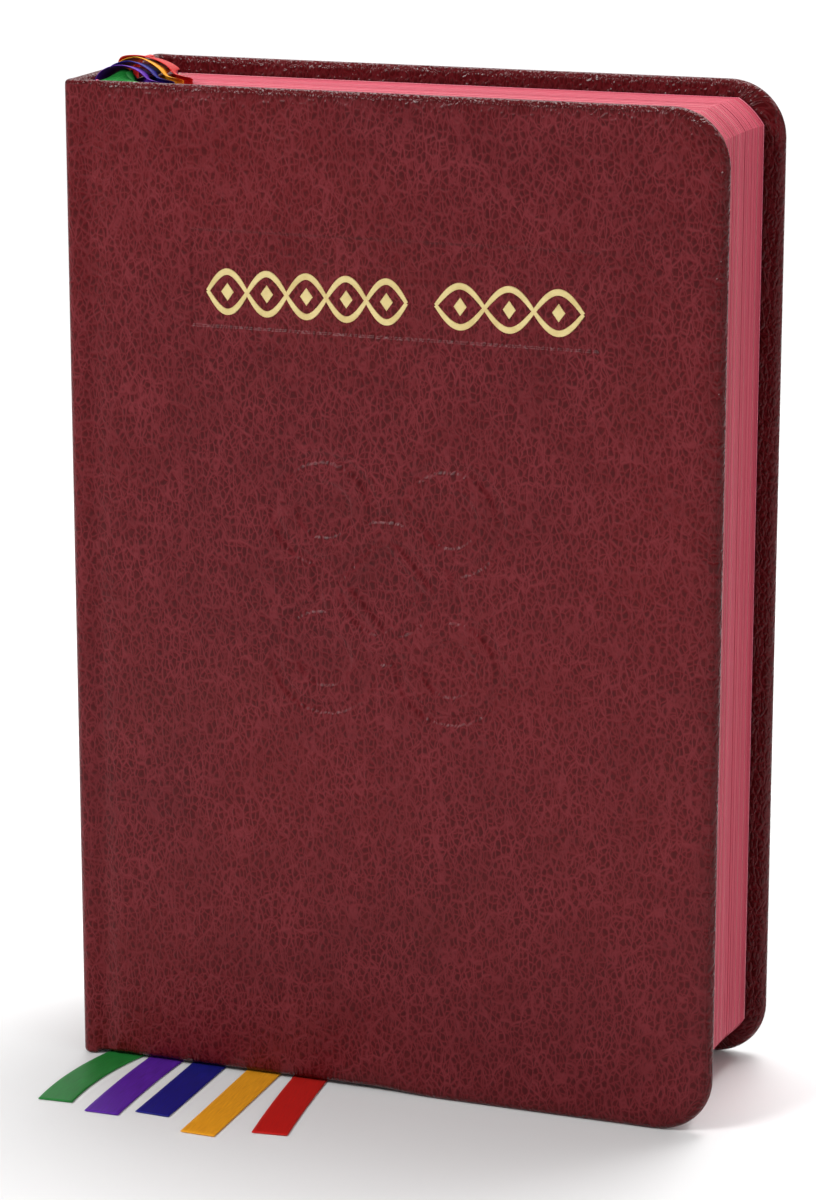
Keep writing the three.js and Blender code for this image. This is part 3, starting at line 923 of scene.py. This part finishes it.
def case_faces(nrows, ncols, ring_count):
    """Smooth faces of the grid and the rings, and flat ones inside the skin and across its seam."""
    grid = np.arange(nrows * ncols).reshape(nrows, ncols)
    rows, columns = rim_path(nrows, ncols)
    rings = grid.size + np.arange(ring_count * len(rows)).reshape(ring_count, -1)
    smooth = []
    for net in (grid, np.vstack([grid[rows, columns], rings])):
        for first, second in zip(net[:-1].tolist(), net[1:].tolist()):
            smooth += strip(first, second)
    inner = rings[-1].tolist()
    tail, head = inner[:ncols][::-1], inner[ncols + nrows - 2 :]
    flat = strip(tail[1:], head[1:])
    flat.append((tail[1], *inner[ncols - 1 : ncols + nrows - 1], head[1]))
    flat.append((*grid[:, -1].tolist(), *rings[:, -1].tolist(), *rings[::-1, 0].tolist()))
    return smooth, flat


def make_case_half(name, side):
    """One skin of leather: a cover with its turned-in edges and joint; the front one has the spine too."""
    x, y, inx, iny = case_columns(side).T
    on_cover = (np.abs(iny) > 0.99) & (y * side > 0)
    groove = np.exp(-(((x - GROOVE_X) / GROOVE_HALF) ** 2)) * GROOVE_DEPTH * on_cover
    thick = case_thickness(x, y, on_cover, groove)
    run = np.concatenate([[0.0], np.cumsum(np.hypot(np.diff(x), np.diff(y)))])
    across, up = rounded_grid(x, case_rows(side), thick, on_cover)
    rolled = edge_roll(across, up) * on_cover * (thick > COVER_THICK - 0.2)
    pressed = groove + EDGE_ROLL * rolled
    if side < 0:
        pressed = pressed + relief(across, up) * on_cover
    surface = np.stack([across + inx * pressed, y + iny * pressed, up], axis=2)

    rows, columns = rim_path(*up.shape)
    base = surface[rows, columns]
    direction, share = rim_directions(base, rows, columns, on_cover)
    inward = np.stack([inx, iny, 0 * inx], axis=1)[columns]
    width = thick[columns]
    depth = width - EDGE_ROLL * rolled[rows, columns]
    lift = LIFT * smoothstep(LIFT_FULL_X + LIFT_RAMP, LIFT_FULL_X, base[:, 0])
    lift = lift * smoothstep(*LIFT_JOINT_X, base[:, 0]) * ((rows == 0) & on_cover[columns] & (side < 0))
    # The face itself follows the lifted tail edge.
    surface[..., 2] += lift[: len(x)][::-1] * smoothstep(LIFT_HEIGHT, 0.0, up)

    points = [surface.reshape(-1, 3)]
    grain = [np.stack([np.tile(run, (len(up), 1)), up, 0 * up], axis=2).reshape(-1, 3)]
    # Wear for gloss and grain, which also paints shade darkening the rolled edge band.
    wear_and_shade = [0.75 * rolled.ravel()]
    rings = rim_rings(width, depth, corner_folds(share))
    for offset, down, worn, lifted in rings:
        place = base + direction * offset[:, None] + inward * down[:, None]
        place[:, 2] += lift * lifted
        points.append(place)
        grain.append(np.stack([run[columns] + offset * direction[:, 0], place[:, 2], down * 0.7], axis=1))
        # The rim and turn-in rings get wear and painted shade too.
        wear_and_shade.append(np.full(len(place), worn))

    smooth, flat = case_faces(*up.shape, len(rings))
    obj = make_object(name, np.concatenate(points), smooth + flat)
    for polygon in list(obj.data.polygons)[len(smooth) :]:
        polygon.use_smooth = False
    outward(obj)
    point_vector(obj, "grain", np.concatenate(grain) * MM)
    point_value(obj, "wear_and_shade", np.concatenate(wear_and_shade))
    obj.data.materials.append(LEATHER_FINISH)
    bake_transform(obj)
    return obj


# ---------------- pages

FOLD_TAPER = 5.0
FOLD_SHARE = 0.18
PAGE_BULGE = 0.5
CORNER_POINTS = 9
DIAGONAL = 0.707
END_MARGIN = 0.12
GAP_SHARE = 0.32
STAIN_REACH = 1.4
UNEVEN = 0.03
SHORT_LEAF = 0.14
SHORT_CHANCE = 0.05
LEAF_WAVE = 0.02
LEAF_GAP = 0.03
LEAF_GAP_DEPTH = 0.05


def leaf_path(fold_x, fore_x):
    """Leaf outline from the fold at the tail, round the fore-edge, to the fold at the head."""
    low, high = TAIL_Z, HEAD_Z
    corner_x, corner_z = fore_x - PAGE_CORNER, low + PAGE_CORNER
    xs = list(fold_x + FOLD_TAPER * np.linspace(0, 1, 6))
    xs += list(np.linspace(fold_x + FOLD_TAPER, corner_x, 16)[1:])
    tail = [(x, low) for x in xs]
    pull = PAGE_BULGE + PAGE_CORNER / 2
    arc = []
    for t in np.linspace(0, 1, CORNER_POINTS + 1)[1:]:
        start, pulled, end = (1 - t) ** 2, 2 * t * (1 - t), t * t
        x = start * corner_x + pulled * (corner_x + pull) + end * fore_x
        z = start * low + pulled * (corner_z - pull) + end * corner_z
        arc.append((x, z))
    side = [(fore_x, z) for z in np.linspace(corner_z, high - PAGE_CORNER, 34)[1:-1]]
    up = [(x, low + high - z) for x, z in arc[::-1]]
    head = [(x, high) for x in xs[::-1]]
    return np.array(tail + arc + side + up + head), len(tail) + len(arc)


def leaf_directions(count, columns):
    """Outward directions round a leaf's outline: tail, corner, fore-edge, corner, head."""
    straight = columns - CORNER_POINTS
    away = np.tile((1.0, 0.0), (count, 1))
    away[:straight] = (0, -1)
    away[straight:columns] = (DIAGONAL, -DIAGONAL)
    away[count - columns : count - straight] = (DIAGONAL, DIAGONAL)
    away[count - straight :] = (0, 1)
    return away


def rounding(y):
    """How far a leaf at this depth sits towards the spine, on a rounded back."""
    return SPINE_ROUNDING * (1 - (y / BLOCK_HALF) ** 2)


def section_span(number):
    """Where a section starts and ends in y: it takes its share of the gaps beside it."""
    low, high = section_box(number)
    start, end = low[1] - END_MARGIN, high[1] + END_MARGIN
    if number > 1:
        before = section_box(number - 1)[1][1]
        start = low[1] - GAP_SHARE * (low[1] - before)
    if number < SECTIONS:
        after = section_box(number + 1)[0][1]
        end = high[1] + GAP_SHARE * (after - high[1])
    return start, end


def section_body(number, start, end):
    """The body that carries a section, and the depth of its fold when it turns."""
    if number <= MOVING_SECTIONS:
        return "front_section_%d" % number, start
    if number > SECTIONS - MOVING_SECTIONS:
        return "back_section_%d" % (SECTIONS + 1 - number), end
    return "book_block", None


def leaf_rings(start, end, count):
    """Outlines through a section as (y, offset, gap): two for each bundle of leaves, one in each gap."""
    leaves = int(rng.integers(7, 10))
    cuts = np.cumsum(rng.uniform(0.5, 1.5, leaves))
    cuts = start + (end - start) * np.concatenate([[0.0], cuts / cuts[-1]])
    rings = []
    for k in range(leaves):
        proud = rng.uniform(-UNEVEN, UNEVEN) - (SHORT_LEAF if rng.random() < SHORT_CHANCE else 0.0)
        wave = LEAF_WAVE * np.sin(np.linspace(0, rng.uniform(6, 16), count) + rng.uniform(0, 6))
        gap = min(LEAF_GAP, 0.2 * (cuts[k + 1] - cuts[k]))
        rings.append((cuts[k] + gap, proud + wave, 0.0))
        rings.append((cuts[k + 1] - gap, proud + wave, 0.0))
        if k < leaves - 1:
            rings.append((cuts[k + 1], proud + wave - LEAF_GAP_DEPTH, 1.0))
    return rings


def leaf_face(start, inner, count, columns):
    """An outer leaf's faces: an inner outline carries the paper, so the stain stays at the rim."""
    faces = strip(range(start, start + count), range(inner, inner + count))
    near = range(inner, inner + columns - 1)
    far = range(inner + count - 1, inner + count - columns, -1)
    faces += strip(near, far)
    faces.append(tuple(range(near[-1], far[-1] + 1)))
    faces.append((start, inner, inner + count - 1, start + count - 1))
    return faces


def make_section(number):
    """A section of leaves with a stained rim; its outer faces show the paper inside that rim."""
    low, high = section_box(number)
    start, end = section_span(number)
    body, hinge = section_body(number, start, end)
    path, columns = leaf_path(low[0], high[0])
    count = len(path)
    away = leaf_directions(count, columns)
    fold = FOLD_SHARE + (1 - FOLD_SHARE) * np.clip((path[:, 0] - low[0]) / FOLD_TAPER, 0, 1)
    points, groove = [], []
    for y, offset, deep in leaf_rings(start, end, count):
        flat = path + away * offset[:, None]
        flat[:, 0] += rounding((start + end) / 2) - rounding(y)
        ys = np.full(count, y) if hinge is None else hinge + (y - hinge) * fold
        points.append(np.stack([flat[:, 0], ys, flat[:, 1]], axis=1))
        groove += [deep] * count
    rings = len(points)
    rim = [1.0] * (rings * count) + [0.0] * (2 * count)
    groove += [0.0] * (2 * count)
    faces = tube_faces(rings, count)
    stained = len(faces)
    inset = STAIN_REACH * np.stack([away[:, 0], 0 * away[:, 0], away[:, 1]], axis=1)
    for position, ring in enumerate((0, rings - 1)):
        points.append(points[ring] - inset)
        faces += leaf_face(ring * count, (rings + position) * count, count, columns)
    obj = make_object("leaves_%02d" % number, np.concatenate(points), faces, smooth=False)
    outward(obj)
    # Marks the gaps between leaves for the painted shade on the page edges.
    point_value(obj, "leaf_gap_shade", groove)
    point_value(obj, "rim", rim)
    obj.data.materials.append(EDGE_FINISH)
    obj.data.materials.append(PAPER_FINISH)
    for polygon in obj.data.polygons:
        polygon.material_index = 0 if polygon.index < stained else 1
    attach(obj, body)
    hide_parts("page_section_%02d" % number)


# ---------------- gilt ornament

FOIL_LIFT = 0.09
FOIL_SINK = 0.16
FOIL_CROSSING = 0.012
EYE_LENGTH = 7.4
EYE_STEPS = 24
WAVE_MARGIN = 0.6
LOZENGE_HALF = (1.25, 1.7)
LOZENGE_TOP = 0.84


def stroke(line, width, y_face, height):
    """A pressed foil line with sloping sides through these places on the cover."""
    tangent = unit(np.gradient(line, axis=0))
    side = np.stack([-tangent[:, 1], tangent[:, 0]], axis=1)
    rails = []
    for share, rise in ((-1.0, -FOIL_SINK), (-0.8, height), (0.8, height), (1.0, -FOIL_SINK)):
        flat = line + side * share * width[:, None] / 2
        rails.append(np.stack([flat[:, 0], np.full(len(flat), y_face - rise), flat[:, 1]], axis=1))
    return rails


def stroke_faces(start, count):
    """The four long sides of a stroke and its two ends."""
    rails = [range(start + m * count, start + (m + 1) * count) for m in range(4)]
    faces = []
    for rail, following in zip(rails, rails[1:] + rails[:1]):
        faces += strip(rail, following)
    faces.append(tuple(rail[0] for rail in rails))
    faces.append(tuple(rail[-1] for rail in rails[::-1]))
    return faces


def foil_lozenge(middle_x, middle_z, y_face, start):
    """Points and faces of a foil lozenge with sloping sides."""
    half_x, half_z = LOZENGE_HALF
    points = []
    for scale, y in ((1.0, y_face + FOIL_SINK), (LOZENGE_TOP, y_face)):
        for dx, dz in ((-half_x, 0.0), (0.0, -half_z), (half_x, 0.0), (0.0, half_z)):
            points.append((middle_x + dx * scale, y, middle_z + dz * scale))
    low, high = list(range(start, start + 4)), list(range(start + 4, start + 8))
    faces = strip(low + low[:1], high + high[:1])
    return points, faces + [tuple(high), tuple(low[::-1])]


def make_gilt(node):
    """A band of two crossing waves with a lozenge in every eye, in stamped foil."""
    low, high = box_mm(node)
    mid_z = (low[2] + high[2]) / 2
    length = high[0] - low[0]
    eyes = max(3, round(length / EYE_LENGTH))
    swing = (high[2] - low[2]) / 2 - WAVE_MARGIN
    y_face = -FACE_Y + PANEL_DEPTH - FOIL_LIFT
    points, faces = [], []
    xs = np.linspace(low[0], high[0], EYE_STEPS * eyes + 1)
    phase = np.pi * (xs - low[0]) / length * eyes
    widths = 0.75 + 0.5 * np.abs(np.sin(phase))
    for sign, height in ((1, 0.0), (-1, FOIL_CROSSING)):
        line = np.stack([xs, mid_z + sign * swing * np.sin(phase)], axis=1)
        faces += stroke_faces(len(points), len(xs))
        points.extend(np.concatenate(stroke(line, widths, y_face, height)))
    for k in range(eyes):
        middle_x = low[0] + (k + 0.5) * length / eyes
        eye_points, eye_faces = foil_lozenge(middle_x, mid_z, y_face, len(points))
        points += eye_points
        faces += eye_faces
    obj = make_object(node.replace("ornament", "band"), points, faces, smooth=False)
    outward(obj)
    obj.data.materials.append(FOIL_FINISH)
    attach(obj, "front_cover")
    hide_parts(node)


# ---------------- headbands and lining

BAND_OFFSET = 0.55
BAND_SIDES = 16
BAND_TURNS = 7.5
LINING_OFFSET = 1.45
LINING_HALF = 17.9
LINING_THICK = 0.34
FLARE_FROM = 13.0
FLARE = 0.5
JOINT_LINING_Y = (-15.2, -16.6)
LINING_PROUD = 0.5
JOINT_LINING_RISE = 2.3


def make_band(node):
    """Silk wound over a cord: a small roll with raised turns."""
    low, high = box_mm(node)
    mid_z = (low[2] + high[2]) / 2
    radius = (high[2] - low[2]) / 2
    ys = np.linspace(-high[1], high[1], 221)
    points = []
    for y, shift in zip(ys, rounding(ys)):
        ring = radius * (0.9 + 0.1 * abs(math.sin(y * BAND_TURNS)))
        middle_x = PAGE_FOLD_X - shift + BAND_OFFSET
        for angle in np.linspace(0, 2 * math.pi, BAND_SIDES + 1)[:-1]:
            points.append((middle_x + ring * math.cos(angle), y, mid_z + ring * math.sin(angle)))
    faces = tube_faces(len(ys), BAND_SIDES) + end_caps(len(ys), BAND_SIDES)
    obj = make_object(node + "_silk", points, faces)
    outward(obj)
    obj.data.materials.append(BAND_FINISH)
    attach(obj, "book_block")
    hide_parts(node)


def make_lining():
    """Stiff lining behind the folds: it follows the rounded back and flares out to both joints."""
    bottom = box_mm("spine_lining")[0][2]
    ys = np.linspace(-LINING_HALF, LINING_HALF, 73)
    flare = FLARE * smoothstep(FLARE_FROM, LINING_HALF, np.abs(ys))
    xs = PAGE_FOLD_X - rounding(ys) - LINING_OFFSET - flare
    tops = HEAD_Z + LINING_PROUD + JOINT_LINING_RISE * smoothstep(*JOINT_LINING_Y, ys)
    points = []
    for x, y, top in zip(xs, ys, tops):
        for dx, z in ((0.0, bottom), (LINING_THICK, bottom), (LINING_THICK, top), (0.0, top)):
            points.append((x + dx, y, z))
    faces = tube_faces(len(ys), 4) + end_caps(len(ys), 4)
    obj = make_object("spine_lining_sheet", points, faces, smooth=False)
    outward(obj)
    obj.data.materials.append(ENDPAPER_FINISH)
    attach(obj, "book_block")
    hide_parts("spine_lining")


def assign(node, material):
    NODES[node].data.materials.clear()
    NODES[node].data.materials.append(material)


# ---------------- the book

make_camera()
for order, marker in enumerate(RIBBONS):
    make_ribbon(marker, order)
make_studio()

LEATHER_FINISH = leather_material()
EDGE_FINISH = stained_edge_material()
PAPER_FINISH = paper_material("thin_paper", (0.82, 0.74, 0.6))
ENDPAPER_FINISH = endpaper_material()
FOIL_FINISH = foil_material()
BAND_FINISH = headband_material()
CARD_FINISH = card_material()

front_case = make_case_half("case_leather_front", -1)
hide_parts("front_cover_leather", "spine_leather")
back_case = make_case_half("case_leather_back", 1)
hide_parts("back_cover_leather")
for section in range(1, SECTIONS + 1):
    make_section(section)
for ornament in ("gilt_ornament_left", "gilt_ornament_right"):
    make_gilt(ornament)
make_lining()
for band in ("headband", "tailband"):
    make_band(band)
for card in ("front_board", "back_board", "spine_inlay"):
    assign(card, CARD_FINISH)
for sheet in ("front_pastedown", "back_pastedown", "front_flyleaf", "back_flyleaf"):
    assign(sheet, ENDPAPER_FINISH)
assign("mull", cloth_material())
